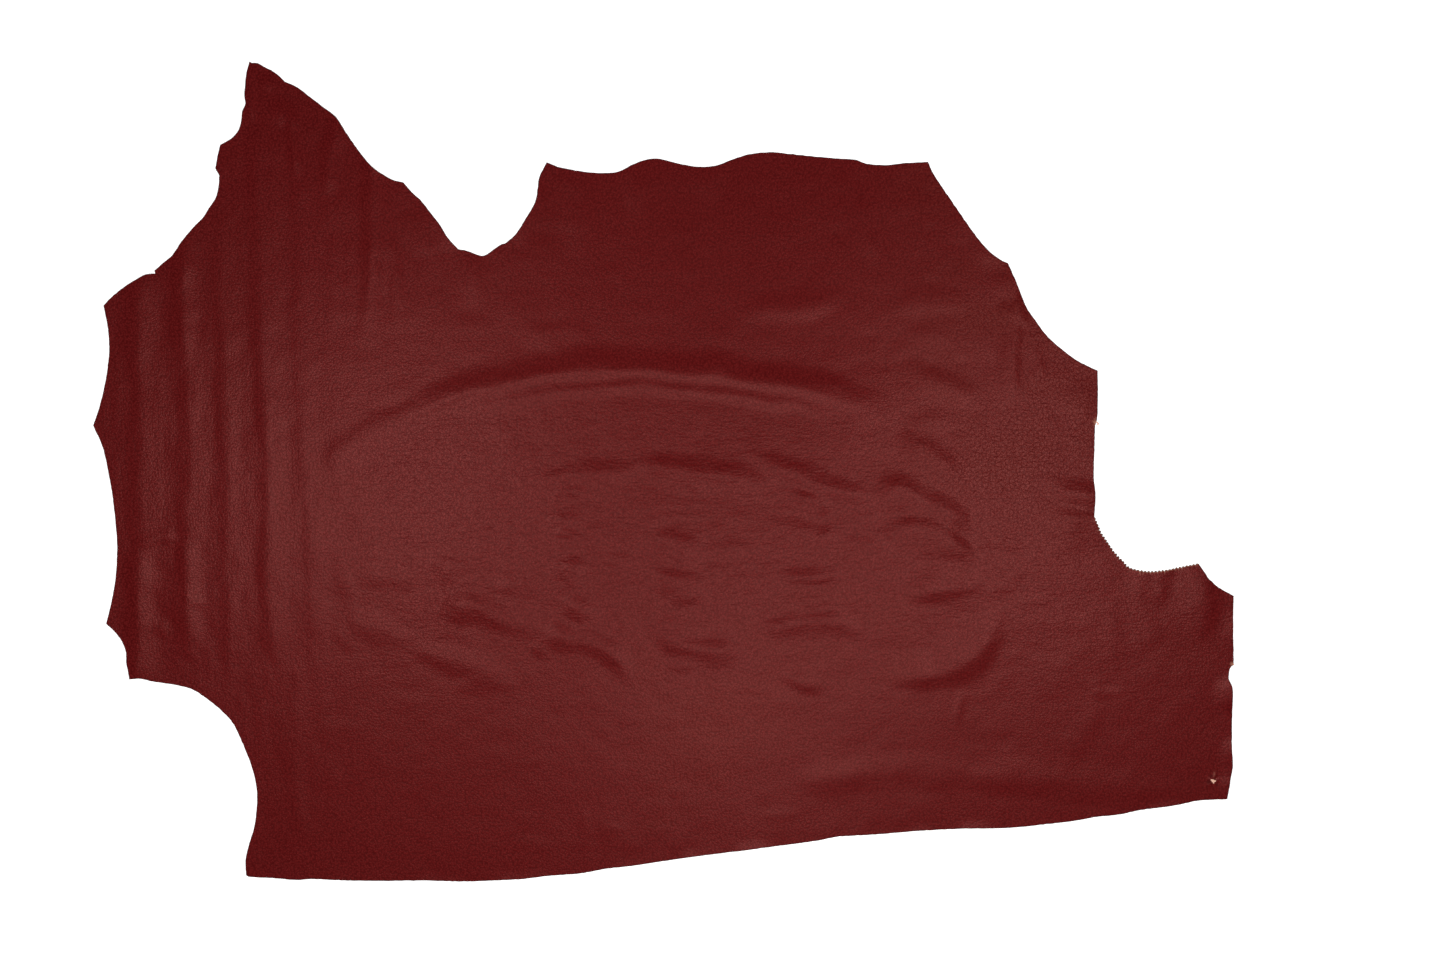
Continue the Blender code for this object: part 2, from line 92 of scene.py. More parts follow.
# ---------------------------------------------------------------- folds
# Each row is one fold. "crest" is its line on the sheet, "rise" its height in
# mm, "left" and "right" how far it spreads to each side of the crest's
# direction, in units, "crisp" how sharp the crest is, "fade" how long each end
# takes to run out, and "lip" the share of the rise that drops at once, within
# LIP_WIDTH, on the right-hand side.
Fold = namedtuple("Fold", "name crest rise left right crisp fade lip", defaults=(0.0,))
LIP_WIDTH = 10.0
FOLDS = (
    # upright waves of the hind end, from the foot of each to its top
    Fold("wave_1", ((138, 700), (138, 640), (138, 590), (140, 540), (142, 480), (141, 400), (139.5, 330), (140, 250)), 1.2, 19, 27, 0.1, 44),
    Fold("wave_1_low", ((139, 700), (138, 650), (138, 610), (139, 545)), 1.5, 15, 22, 0.5, 40),
    Fold("wave_1_top", ((139, 390), (139, 330), (140, 250)), 0.8, 32, 16, 0.4, 44),
    Fold("wave_2", ((192, 662), (188, 620), (187.5, 590), (188, 540), (190, 480), (188, 400), (185, 340), (184, 290), (183, 225)), 1.1, 17, 22, 0.3, 40),
    Fold("wave_2_low", ((191, 660), (187.5, 610), (188, 535)), 1.1, 18, 20, 0.2, 30),
    Fold("wave_2_top", ((187, 370), (184, 300), (183, 225)), 1.3, 22, 14, 0.3, 40),
    Fold("wave_3", ((230, 700), (230, 640), (229, 590), (228.5, 540), (228.5, 480), (227, 420), (225, 340), (222, 260), (221, 180)), 0.75, 14, 19, 0.25, 60),
    Fold("wave_4", ((282, 684), (276, 655), (271.5, 630), (270, 600), (269, 560), (268.5, 520), (268, 480), (266, 430), (263, 370), (261, 320), (260, 250), (260, 200), (258, 150), (256, 96)), 1.2, 15, 28, 0.3, 60),
    Fold("wave_5", ((314, 690), (315, 630), (314, 590), (312, 550), (309, 510), (307, 480), (304, 430), (302, 370), (301, 300), (301, 240), (300, 190), (298, 140)), 0.48, 12, 22, 0.2, 60),
    Fold("wave_6", ((332, 200), (328, 172), (329, 152), (335, 134), (334, 104)), 1.6, 13, 15, 0.4, 24),
    Fold("wave_7", ((362, 350), (371, 290), (375, 235), (375, 185), (370, 120), (366, 60)), 2.3, 18, 22, 0.2, 90),
    Fold("wave_8", ((353, 330), (352, 270), (350, 215)), 0.4, 12, 14, 0.1, 40),
    Fold("wave_9", ((398, 330), (396, 270), (392, 220)), 0.9, 12, 12, 0.1, 40),
    Fold("wave_10", ((338, 330), (336, 280), (334, 225)), 0.3, 10, 12, 0.1, 40),
    Fold("wave_5_tail", ((300, 885), (297, 800), (296, 730), (300, 660)), 0.55, 14, 15, 0.0, 60),
    Fold("wave_4_tail", ((286, 770), (284, 730), (281, 690)), 0.55, 14, 14, 0.0, 36),
    Fold("wave_1_dent", ((176, 628), (172, 596), (170, 566), (160, 550)), 0.6, 14, 12, 0.1, 22),
    Fold("wave_1_brow", ((136, 547), (150, 541), (166, 538), (180, 543)), 1.1, 12, 11, 0.2, 14),
    Fold("wave_1_foot", ((150, 622), (160, 628), (172, 640)), 0.7, 14, 10, 0.1, 14),
    Fold("wave_2_dent", ((186, 590), (196, 600), (212, 605)), 0.4, 6, 8, 0.3, 12),
    Fold("wave_2_foot", ((198, 661), (186, 651), (170, 646)), 0.55, 9, 12, 0.1, 12),
    Fold("wave_5_foot", ((354, 656), (344, 640), (330, 634)), 0.3, 10, 12, 0.1, 14),
    # great arch: the long slope, then two steps down towards the middle
    Fold("great_arch", ((392, 424), (418, 411.5), (450, 398.5), (500, 385), (550, 374.5), (600, 370.5), (650, 370), (700, 373.5), (750, 381), (800, 389.5), (850, 402), (885, 416), (912, 432)), 1.35, 30, 130, 0.1, 75),
    Fold("great_step", ((386, 427), (410, 415.5), (450, 398.5), (500, 385), (550, 374), (600, 370), (650, 369.6), (700, 373), (750, 380.5), (800, 389.5), (850, 402), (880, 414)), 1.75, 25, 20, 0.25, 62, 0.9),
    Fold("arch_brow", ((560, 366), (600, 362), (650, 361), (700, 364), (750, 371)), 0.35, 22, 40, 0.1, 60),
    Fold("arch_bend", ((740, 376), (790, 384), (840, 396), (880, 412), (910, 430)), 0.7, 26, 30, 0.0, 60),
    Fold("second_step", ((440, 421), (470, 411), (500, 403), (550, 393), (600, 388), (650, 387), (700, 391), (750, 397.5), (800, 406.5), (850, 419)), 1.15, 36, 16, 0.2, 76, 0.7),
    Fold("arch_bead", ((490, 404), (520, 398), (560, 392), (600, 388.5), (650, 387.5), (700, 391), (750, 397.5), (800, 407), (840, 417)), 0.4, 8, 9, 0.1, 60),
    Fold("arch_start", ((318, 466), (348, 446), (370, 432), (396, 420), (426, 408)), 1.3, 19, 30, 0.0, 34),
    Fold("arch_tail", ((894, 433), (925, 452), (945, 464), (968, 481)), 1.7, 17, 22, 0.1, 34),
    # second, third and fourth arches
    Fold("second_arch_left", ((530, 480), (565, 478), (600, 473), (642, 467)), 1.8, 17, 22, 0.1, 36, 0.25),
    Fold("second_arch", ((628, 462), (655, 468), (680, 471), (705, 473.5), (730, 478), (772, 485)), 2.4, 20, 23, 0.2, 40, 0.3),
    Fold("second_under", ((658, 485), (685, 484), (716, 489)), 1.0, 8, 14, 0.2, 22, 0.3),
    Fold("second_under_left", ((545, 493), (567, 492), (594, 493)), 1.2, 8, 10, 0.2, 18),
    Fold("third_arch", ((746, 456), (775, 466), (800, 475.5), (825, 485.5), (850, 492.5), (884, 495)), 2.4, 18, 19, 0.2, 40, 0.2),
    Fold("third_under", ((788, 491), (808, 498), (838, 508)), 2.1, 9, 20, 0.3, 18),
    Fold("fourth_arch", ((876, 477), (905, 491), (930, 503), (950, 514), (974, 531)), 2.7, 18, 34, 0.2, 26),
    Fold("fourth_under", ((880, 525), (905, 526), (925, 530), (940, 536), (955, 544), (982, 562)), 2.6, 14, 34, 0.2, 42),
    # shoulder, above the great arch
    Fold("shoulder_1", ((728, 318), (765, 311), (800, 306), (852, 298)), 1.4, 22, 20, 0.0, 50),
    Fold("shoulder_2", ((880, 308), (925, 304), (980, 308)), 0.7, 22, 18, 0.0, 40),
    Fold("shoulder_3", ((898, 364), (922, 375), (945, 386), (966, 395), (990, 406)), 1.4, 18, 20, 0.1, 40),
    Fold("shoulder_4", ((900, 424), (930, 421), (966, 424)), 0.4, 16, 14, 0.1, 30),
    Fold("shoulder_5", ((510, 340), (550, 333), (600, 330)), 0.5, 16, 24, 0.0, 34),
    Fold("shoulder_6", ((900, 338), (925, 333), (950, 336)), 0.25, 12, 16, 0.1, 20),
    Fold("elbow_crease", ((1012, 410), (1015, 350), (1017, 285)), 1.3, 22, 10, 0.1, 34),
    Fold("elbow_nick", ((1028, 330), (1021, 308), (1016, 292)), 1.2, 10, 8, 0.3, 12),
    Fold("elbow_crease_2", ((1046, 382), (1040, 362), (1036, 340)), 0.4, 8, 6, 0.2, 16),
    Fold("elbow_crease_3", ((1032, 392), (1038, 372), (1050, 356)), 0.4, 6, 7, 0.2, 14),
    Fold("elbow_lift", ((1018, 306), (1017, 286), (1018, 262)), 1.5, 30, 2, 0.1, 20),
    Fold("shank_roll", ((1080, 372), (1084, 396), (1084, 430)), 0.8, 16, 30, 0.1, 24),
    Fold("shank_fold_1", ((1034, 480), (1056, 486), (1074, 494), (1130, 496)), 2.5, 18, 20, 0.2, 46),
    Fold("shank_fold_2", ((1040, 514), (1072, 519), (1130, 522)), 2.8, 15, 40, 0.2, 40),
    # belly edge
    Fold("belly_wave_1", ((582, 270), (580, 215), (583, 140)), 1.5, 34, 26, 0.1, 50),
    Fold("belly_wave_2", ((634, 225), (634, 140)), 1.4, 18, 20, 0.1, 36),
    Fold("belly_wave_3", ((708, 215), (706, 140)), 1.4, 26, 20, 0.1, 36),
    Fold("belly_wave_4", ((878, 270), (858, 215), (842, 140)), 1.2, 22, 14, 0.2, 46),
    Fold("notch_wave", ((470, 310), (474, 246)), 0.8, 20, 18, 0.1, 30),
    Fold("flank_wave", ((434, 270), (427, 232), (418, 195)), 0.5, 16, 18, 0.1, 26),
    # wrinkles over the middle, above its height: steep side up
    Fold("middle_1", ((540, 521), (565, 519), (592, 520)), 1.2, 10, 16, 0.1, 24),
    Fold("middle_2", ((548, 535), (566, 531), (586, 540)), 1.3, 6, 10, 0.3, 16),
    Fold("middle_3", ((648, 532), (672, 539), (690, 545), (712, 553)), 1.8, 13, 26, 0.2, 28),
    Fold("middle_4", ((704, 549), (728, 547), (760, 549)), 1.0, 8, 16, 0.2, 26),
    Fold("middle_5", ((544, 566), (570, 566), (598, 568)), 1.7, 12, 30, 0.1, 26),
    Fold("middle_6", ((424, 563), (455, 564), (488, 569)), 1.1, 12, 34, 0.1, 28),
    Fold("middle_7", ((648, 572), (675, 580), (692, 584.5), (714, 583)), 2.3, 14, 26, 0.1, 26),
    Fold("middle_8", ((664, 599), (688, 597), (712, 598)), 1.2, 9, 12, 0.1, 18),
    Fold("middle_9", ((782, 523), (802, 531), (822, 537), (846, 539)), 1.1, 11, 16, 0.1, 24, 0.3),
    Fold("middle_9_left", ((762, 528), (785, 532), (806, 540)), 0.5, 14, 14, 0.0, 20),
    Fold("middle_10", ((836, 542), (862, 542), (894, 549)), 0.9, 8, 10, 0.2, 24, 0.4),
    Fold("middle_11", ((968, 542), (998, 541), (1030, 542)), 0.95, 7, 14, 0.3, 26),
    Fold("middle_12", ((484, 585), (510, 584), (545, 582)), 0.9, 9, 24, 0.1, 26),
    Fold("middle_13", ((432, 585), (402, 579), (380, 578), (352, 583)), 0.7, 15, 20, 0.1, 30),
    Fold("middle_14", ((644, 517), (668, 517), (694, 520)), 0.25, 7, 9, 0.2, 20),
    Fold("middle_15", ((868, 534), (884, 533), (902, 535)), 0.6, 6, 10, 0.3, 14),
    Fold("middle_16", ((974, 532), (990, 531), (1008, 533)), 0.3, 6, 8, 0.3, 14),
    Fold("middle_17", ((596, 561), (618, 559), (642, 562)), 0.9, 8, 12, 0.1, 22),
    Fold("middle_18", ((450, 582), (472, 581), (498, 582)), 0.45, 8, 11, 0.1, 20),
    Fold("middle_19", ((980, 588), (1000, 588), (1018, 589)), 0.5, 7, 12, 0.1, 16),
    Fold("middle_20", ((596, 540), (618, 539), (640, 542)), 0.4, 6, 9, 0.2, 18),
    Fold("middle_21", ((716, 518), (736, 517), (758, 520)), 0.35, 6, 9, 0.2, 18),
    Fold("middle_22", ((612, 586), (632, 585), (650, 588)), 0.4, 6, 9, 0.2, 16),
    Fold("middle_23", ((724, 578), (742, 576), (762, 578)), 0.4, 6, 9, 0.2, 16),
    Fold("middle_24", ((490, 528), (512, 527), (534, 529)), 0.35, 6, 9, 0.2, 18),
    Fold("middle_25", ((560, 584), (574, 583), (590, 584)), 0.4, 6, 8, 0.2, 12),
    Fold("middle_26", ((846, 568), (866, 567), (888, 569)), 0.4, 6, 9, 0.2, 18),
    Fold("middle_27", ((1000, 576), (1014, 574), (1030, 578)), 0.4, 6, 8, 0.2, 12),
    # wrinkles below its height: they run right to left, steep side down
    Fold("lower_1", ((512, 622), (492, 613), (472, 607), (453, 608), (434, 617)), 2.6, 21, 20, 0.1, 28),
    Fold("lower_1_tail", ((566, 630), (536, 625), (512, 621), (486, 611)), 1.1, 20, 22, 0.1, 32),
    Fold("lower_1_end", ((447, 644), (447, 626), (454, 610)), 0.6, 16, 16, 0.0, 16),
    Fold("lower_2", ((632, 688), (620, 664), (606, 649), (588, 640.5), (570, 637), (550, 638), (526, 648)), 2.3, 18, 20, 0.2, 44),
    Fold("lower_2_left", ((556, 656), (540, 650), (524, 646)), 0.8, 11, 12, 0.1, 16),
    Fold("lower_3", ((412, 654), (398, 638), (380, 629), (360, 627), (338, 636)), 1.0, 18, 20, 0.1, 40),
    Fold("lower_4", ((524, 696), (502, 679), (476, 669), (450, 660), (425, 650), (406, 643)), 1.35, 19, 20, 0.1, 44),
    Fold("lower_4_foot", ((512, 688), (480, 683), (448, 686)), 0.6, 14, 12, 0.0, 26),
    Fold("lower_5", ((752, 656), (724, 652.5), (702, 649), (682, 643), (662, 636), (640, 631)), 1.9, 20, 16, 0.1, 40),
    Fold("lower_5_tail", ((706, 664), (684, 666), (660, 671)), 0.9, 11, 14, 0.1, 24),
    Fold("lower_6", ((606, 613), (582, 610), (556, 598)), 1.8, 16, 17, 0.05, 26),
    Fold("lower_7", ((722, 630), (690, 627), (664, 624), (640, 622)), 1.0, 12, 15, 0.1, 34),
    Fold("lower_8", ((828, 690), (802, 682), (776, 672)), 1.3, 13, 16, 0.1, 26),
    Fold("lower_9", ((850, 603), (822, 601), (798, 603), (770, 612)), 1.0, 13, 20, 0.1, 34),
    Fold("lower_10", ((868, 640), (848, 625), (828, 620.5), (806, 622.5), (784, 625), (746, 632)), 2.3, 22, 15, 0.2, 40),
    Fold("lower_11", ((770, 577), (812, 577), (848, 575)), 1.0, 12, 10, 0.1, 30, 0.15),
    Fold("lower_12", ((844, 579.5), (814, 580), (776, 582)), 0.7, 9, 10, 0.2, 28, 0.15),
    Fold("lower_13", ((992, 581), (964, 588), (938, 591), (892, 592)), 1.8, 14, 28, 0.2, 40),
    Fold("lower_14", ((972, 572), (950, 572), (928, 574)), 0.6, 9, 14, 0.1, 18),
    Fold("lower_15", ((786, 693), (756, 690), (726, 687)), 0.35, 7, 9, 0.2, 22),
    Fold("lower_16", ((1060, 598), (1032, 602), (1004, 604)), 0.4, 8, 10, 0.2, 24),
    Fold("lower_17", ((356, 640), (352, 612), (348, 586), (344, 556)), 0.5, 14, 12, 0.1, 34),
    Fold("lower_18", ((560, 690), (590, 684), (620, 688)), 0.15, 10, 10, 0.1, 22),
    # crescent in front of the neck, and the pinch by it
    Fold("crescent", ((998, 602), (991, 630), (981, 647), (968, 660), (954, 668), (935, 675), (905, 676), (884, 673)), 2.3, 20, 36, 0.2, 46),
    Fold("crescent_in", ((1000, 606), (992, 630), (978, 648), (958, 660)), 0.3, 14, 16, 0.1, 34),
    Fold("crescent_rim", ((1016, 668), (1000, 684), (978, 696), (960, 699)), 0.2, 12, 12, 0.1, 20),
    Fold("crescent_foot", ((954, 730), (959, 706), (961, 686)), 0.8, 9, 9, 0.2, 18),
    Fold("pinch_ridge", ((1108, 600), (1112, 630), (1110, 660), (1104, 690)), 0.35, 20, 16, 0.0, 34),
    Fold("pinch_tail", ((1100, 690), (1090, 718), (1076, 742), (1060, 776)), 0.6, 20, 22, 0.0, 40),
    Fold("pinch_bar", ((1088, 692), (1104, 693), (1130, 690)), 0.5, 5, 9, 0.3, 12),
    Fold("pinch_knot", ((1094, 698), (1096, 686), (1092, 674)), 0.35, 5, 7, 0.2, 9),
    Fold("pinch_side", ((1048, 668), (1062, 665), (1078, 664)), 0.15, 10, 9, 0.1, 14),
    # long low ridge along the back line
    Fold("back_ridge", ((1226, 790), (1130, 787), (1080, 783), (1030, 779), (970, 775), (895, 770), (850, 774), (790, 782)), 0.65, 22, 22, 0.0, 80),
    Fold("back_ridge_1", ((884, 774), (835, 776), (790, 782)), 0.85, 28, 24, 0.1, 40),
    Fold("back_ridge_2", ((1072, 781), (1020, 779), (960, 780)), 0.85, 24, 46, 0.0, 50),
    Fold("back_dent_1", ((804, 812), (780, 813), (756, 814)), 0.3, 8, 8, 0.1, 16),
    Fold("back_dent_2", ((640, 832), (615, 828), (590, 824)), 0.25, 16, 8, 0.1, 20),
    Fold("back_seam", ((589, 866), (586, 826), (580, 796)), 0.2, 8, 8, 0.1, 20),
    Fold("rump_line", ((566, 757), (530, 762), (500, 765)), 0.15, 6, 6, 0.1, 22),
    Fold("rump_soft_1", ((500, 775), (450, 768), (400, 772)), 0.15, 14, 14, 0.0, 40),
    Fold("rump_soft_2", ((700, 722), (650, 716), (600, 720)), 0.15, 12, 14, 0.0, 40),
    # neck
    Fold("neck_0", ((1138, 556), (1139, 580), (1140, 606)), 0.5, 18, 14, 0.1, 18),
    Fold("neck_1", ((1160, 550), (1161, 575), (1160, 606)), 1.15, 16, 24, 0.3, 20),
    Fold("neck_1_fork", ((1168, 586), (1160, 594), (1150, 600)), 0.3, 6, 9, 0.2, 12),
    Fold("neck_1_run", ((1150, 606), (1151, 630), (1148, 650)), 0.4, 12, 14, 0.1, 20),
    Fold("neck_2", ((1202, 552), (1204, 580), (1204, 610), (1200, 648)), 1.9, 22, 42, 0.2, 40),
    Fold("neck_3", ((1243, 666), (1243, 690), (1242, 716)), 2.6, 1, 32, 0.1, 22),
    Fold("neck_4", ((1240, 730), (1240, 765), (1238, 806)), 1.6, 1, 24, 0.1, 26),
    Fold("neck_5", ((1240, 606), (1241, 630), (1240, 652)), 1.6, 1, 28, 0.1, 20),
    Fold("neck_6", ((1168, 602), (1190, 607), (1208, 604)), 0.2, 6, 10, 0.1, 16),
    Fold("neck_lift_1", ((1231, 716), (1230, 696), (1229, 674)), 1.0, 20, 3, 0.1, 16),
    Fold("neck_lift_2", ((1231, 770), (1231, 752), (1232, 736)), 0.8, 14, 3, 0.1, 12),
    Fold("neck_lift_3", ((1227, 800), (1229, 788), (1230, 774)), 0.9, 16, 3, 0.1, 10),
    # edges that stand up a little along the back line and the leg
    Fold("lift_1", ((1196, 812), (1170, 815), (1140, 819)), 1.5, 1, 20, 0.1, 22),
    Fold("lift_2", ((1006, 836), (978, 838), (950, 839)), 1.8, 1, 18, 0.1, 20),
    Fold("lift_3", ((942, 838), (922, 840), (900, 842)), 1.4, 1, 18, 0.1, 18),
    Fold("lift_4", ((778, 855), (748, 859), (722, 863)), 1.9, 1, 18, 0.1, 22),
    Fold("lift_5", ((708, 863), (690, 866), (672, 869)), 1.4, 1, 16, 0.1, 16),
    Fold("lift_6", ((566, 884), (520, 889), (486, 891)), 1.4, 1, 18, 0.1, 26),
    Fold("lift_7", ((484, 891), (440, 891), (392, 891)), 1.2, 1, 18, 0.1, 30),
    Fold("lift_8", ((356, 891), (335, 891), (312, 890)), 0.8, 1, 16, 0.1, 18),
    Fold("lift_9", ((650, 872), (630, 875), (610, 877)), 0.9, 1, 14, 0.1, 16),
    Fold("leg_curl", ((252, 126), (250.5, 104), (250, 84), (249, 58)), 2.0, 6, 7, 0.3, 18),
    Fold("leg_crease", ((299, 182), (295, 160), (291, 140), (292, 104)), 1.4, 7, 9, 0.4, 22),
    Fold("leg_bump_1", ((292, 132), (280, 114), (272, 98)), 1.4, 10, 14, 0.1, 18),
    Fold("leg_bump_2", ((276, 92), (268, 84), (262, 72)), 1.2, 9, 9, 0.1, 12),
    Fold("flank_lift", ((394, 174), (376, 152), (358, 126)), 1.2, 30, 2, 0.1, 22),
    Fold("flank_lift_2", ((462, 250), (448, 226), (430, 198)), 1.2, 26, 2, 0.1, 22),
    Fold("shoulder_lift", ((1012, 270), (980, 238), (946, 192)), 1.1, 24, 2, 0.1, 34),
    Fold("notch_lift", ((494, 242), (510, 230), (519, 217), (529, 199), (532, 184), (533, 170)), 1.2, 2, 24, 0.1, 28),
    Fold("hind_soft_1", ((334, 500), (335, 440), (338, 380)), 0.15, 12, 14, 0.0, 44),
    Fold("hind_soft_2", ((160, 450), (162, 400), (160, 350)), 0.2, 10, 12, 0.0, 40),
)

TEAR_AT = (1213.0, 780.8)
TEAR_REACH = 10.0
rng = np.random.default_rng(11)


# ---------------------------------------------------------------- working out


def smooth_line(stops, step):
    """Points along a smooth curve through the stops, about one step apart."""
    stops = [np.array(s, float) for s in stops]
    if len(stops) == 2:
        knots = [stops[0], stops[0], stops[1], stops[1]]
    else:
        knots = [2 * stops[0] - stops[1], *stops, 2 * stops[-1] - stops[-2]]
    points = []
    for before, start, end, after in zip(knots, knots[1:], knots[2:], knots[3:]):
        length = np.linalg.norm(end - start)
        count = max(1, round(length / step))
        back = max(np.linalg.norm(start - before), 1e-6)
        ahead = max(np.linalg.norm(after - end), 1e-6)
        leave = (end - before) * length / (length + back)
        arrive = (after - start) * length / (length + ahead)
        for k in range(count):
            t = k / count
            points.append(
                (2 * t**3 - 3 * t**2 + 1) * start
                + (t**3 - 2 * t**2 + t) * leave
                + (3 * t**2 - 2 * t**3) * end
                + (t**3 - t**2) * arrive
            )
    return [*points, stops[-1]]


def evenly(points, step):
    """The polyline's points again, at even steps along it, ends kept."""
    points = np.array(points)
    along = np.concatenate([[0], np.cumsum(np.hypot(*np.diff(points, axis=0).T))])
    count = max(2, round(along[-1] / step))
    at = np.linspace(0, along[-1], count + 1)
    return np.stack([np.interp(at, along, points[:, k]) for k in (0, 1)], axis=1)


def outline():
    """The cut edge, clockwise in plan units, and which of its points are pinked."""
    points, pinked = [], []
    for (name, corner, by), (_, after, _) in zip(CUTS, CUTS[1:] + CUTS[:1]):
        line = np.array(smooth_line([corner, *by, after], 1.0))
        if name == "pinked_bay":
            teeth = round(np.hypot(*np.diff(line, axis=0).T).sum() / PINK_PITCH)
            line = evenly(line, np.hypot(*np.diff(line, axis=0).T).sum() / (teeth * 4))
            way = np.gradient(line, axis=0)
            way /= np.linalg.norm(way, axis=1)[:, None]
            out = np.stack([way[:, 1], -way[:, 0]], axis=1)
            step = np.arange(len(line)) % 4
            depth = PINK_DEPTH * np.choose(step, (-0.5, 0.22, 0.5, 0.22))
            depth[[0, -1]] = 0
            depth *= 1 + 0.25 * rng.standard_normal(len(depth))
            line = line + out * depth[:, None]
            mark = True
        else:
            line = evenly(line, EDGE_STEP)
            wobble = 0.1 * rng.standard_normal((len(line), 2))
            wobble[[0, -1]] = 0
            line = line + wobble
            mark = False
        points += list(line[:-1])
        pinked += [mark] * (len(line) - 1)
    return np.array(points), np.array(pinked)


def profile(t, crisp):
    t = np.clip(t, 0, 1)
    return (1 - crisp) * np.cos(t * math.pi / 2) ** 2 + crisp * (1 - t) ** 2


def fold_height(fold, seed, x, y):
    """Height of one fold, in metres, at places in plan units."""
    line = np.array(smooth_line(fold.crest, 7.0))
    reach = max(fold.left, fold.right)
    out = np.zeros(x.shape)
    near = (
        (x > line[:, 0].min() - reach)
        & (x < line[:, 0].max() + reach)
        & (y > line[:, 1].min() - reach)
        & (y < line[:, 1].max() + reach)
    )
    if not near.any():
        return out
    px, py = x[near], y[near]
    starts, ways = line[:-1], np.diff(line, axis=0)
    lengths = np.hypot(*ways.T)
    along = np.concatenate([[0], np.cumsum(lengths)])
    nearest = np.full(px.shape, np.inf)
    side = np.ones(px.shape)
    travelled = np.zeros(px.shape)
    for (sx, sy), (wx, wy), length, before in zip(starts, ways, lengths, along):
        t = np.clip(((px - sx) * wx + (py - sy) * wy) / length**2, 0, 1)
        away = np.hypot(px - sx - t * wx, py - sy - t * wy)
        closer = away < nearest
        nearest = np.where(closer, away, nearest)
        side = np.where(closer, wx * (py - sy) - wy * (px - sx), side)
        travelled = np.where(closer, before + t * length, travelled)
    to_end = np.minimum(travelled, along[-1] - travelled)
    ends = np.clip(to_end / fold.fade, 0, 1)
    ends = ends * ends * (3 - 2 * ends)
    # no fold is even: its height and width change along the crest
    uneven = noise(travelled, 0 * travelled, 26, 1, 100 + seed)
    taper = (0.65 + 0.35 * ends) * (1 + 0.12 * uneven)
    left = profile(nearest / (fold.left * taper), fold.crisp)
    right = (1 - fold.lip) * profile(nearest / (fold.right * taper), fold.crisp)
    right += fold.lip * profile(nearest / LIP_WIDTH, 0.0)
    rise = 0.001 * fold.rise * ends * (1 + 0.22 * uneven)
    out[near] = rise * np.where(side < 0, left, right)
    return out


def noise(x, y, size_x, size_y, seed):
    """Smooth noise from -1 to 1, with the given sizes in units."""
    table = np.random.default_rng(seed).uniform(-1, 1, (256, 256))
    u, v = x / size_x + 1000.0, y / size_y + 1000.0
    iu, iv = np.floor(u).astype(int), np.floor(v).astype(int)
    fu, fv = u - iu, v - iv
    fu, fv = fu * fu * (3 - 2 * fu), fv * fv * (3 - 2 * fv)
    a = table[iu % 256, iv % 256]
    b = table[(iu + 1) % 256, iv % 256]
    c = table[iu % 256, (iv + 1) % 256]
    d = table[(iu + 1) % 256, (iv + 1) % 256]
    return (a * (1 - fu) + b * fu) * (1 - fv) + (c * (1 - fu) + d * fu) * fv


def blob(x, y, cx, cy, rx, ry):
    return np.exp(-(((x - cx) / rx) ** 2) - ((y - cy) / ry) ** 2)


def height(x, y):
    """How far the flesh side stands off the floor, in metres, at plan units."""
    wander_x = x + 1.7 * noise(x, y, 24, 24, 21) + 0.8 * noise(x, y, 11, 11, 22)
    wander_y = y + 1.7 * noise(x, y, 24, 24, 23) + 0.8 * noise(x, y, 11, 11, 24)
    z = sum(fold_height(fold, k, wander_x, wander_y) for k, fold in enumerate(FOLDS))
    # crinkles: long ones across the middle, upright ones at the hind end
    middle = blob(x, y, 690, 545, 340, 130)
    crinkle = noise(x, y, 17, 6.0, 1) + 0.7 * noise(x + 5, y, 9, 4.2, 2)
    crinkle = crinkle + 1.3 * noise(x, y, 36, 13, 7)
    hind = 1 / (1 + np.exp((x - 345) / 20))
    upright = noise(x, y, 5.5, 26, 5) + 0.7 * noise(x, y, 4.2, 12, 6)
    upright = upright + 1.2 * noise(x, y, 12, 50, 8)
    z = z + 0.00013 * (0.4 + middle) * (1 - hind) * (crinkle + 3.0)
    z = z + 0.00011 * hind * (upright + 2.9)
    # small puckers over all of it
    pucker = noise(x, y, 34, 26, 3) + 0.6 * noise(x, y, 15, 13, 4)
    z = z + 0.00022 * (pucker + 1.6)
    return np.maximum(z, 0)


def inside(points, ring):
    """Which points lie inside the ring."""
    found = np.zeros(len(points), bool)
    x, y = points.T
    for (x1, y1), (x2, y2) in zip(ring, np.roll(ring, -1, axis=0)):
        if y1 == y2:
            continue
        between = (y1 > y) != (y2 > y)
        found ^= between & (x < (x2 - x1) * (y - y1) / (y2 - y1) + x1)
    return found


def edge_distance(points, ring):
    """Distance from each point to the ring, exact near it."""
    least = np.full(len(points), np.inf)
    starts = ring
    ways = np.roll(ring, -1, axis=0) - ring
    order = np.argsort(points[:, 0], kind="stable")
    xs = points[order, 0]
    for (sx, sy), (wx, wy) in zip(starts, ways):
        low, high = min(sx, sx + wx) - 12, max(sx, sx + wx) + 12
        some = order[np.searchsorted(xs, low) : np.searchsorted(xs, high)]
        px, py = points[some].T
        t = np.clip(((px - sx) * wx + (py - sy) * wy) / (wx * wx + wy * wy), 0, 1)
        away = np.hypot(px - sx - t * wx, py - sy - t * wy)
        least[some] = np.minimum(least[some], away)
    return least


def hex_points(step, box):
    """A lattice of equal triangles over the box."""
    (x0, y0), (x1, y1) = box
    rise = step * math.sqrt(3) / 2
    rows = int((y1 - y0) / rise) + 2
    cols = int((x1 - x0) / step) + 2
    j, i = np.mgrid[0:rows, 0:cols]
    return i, j, np.stack([x0 + (i + 0.5 * (j % 2)) * step, y0 + j * rise], axis=-1)


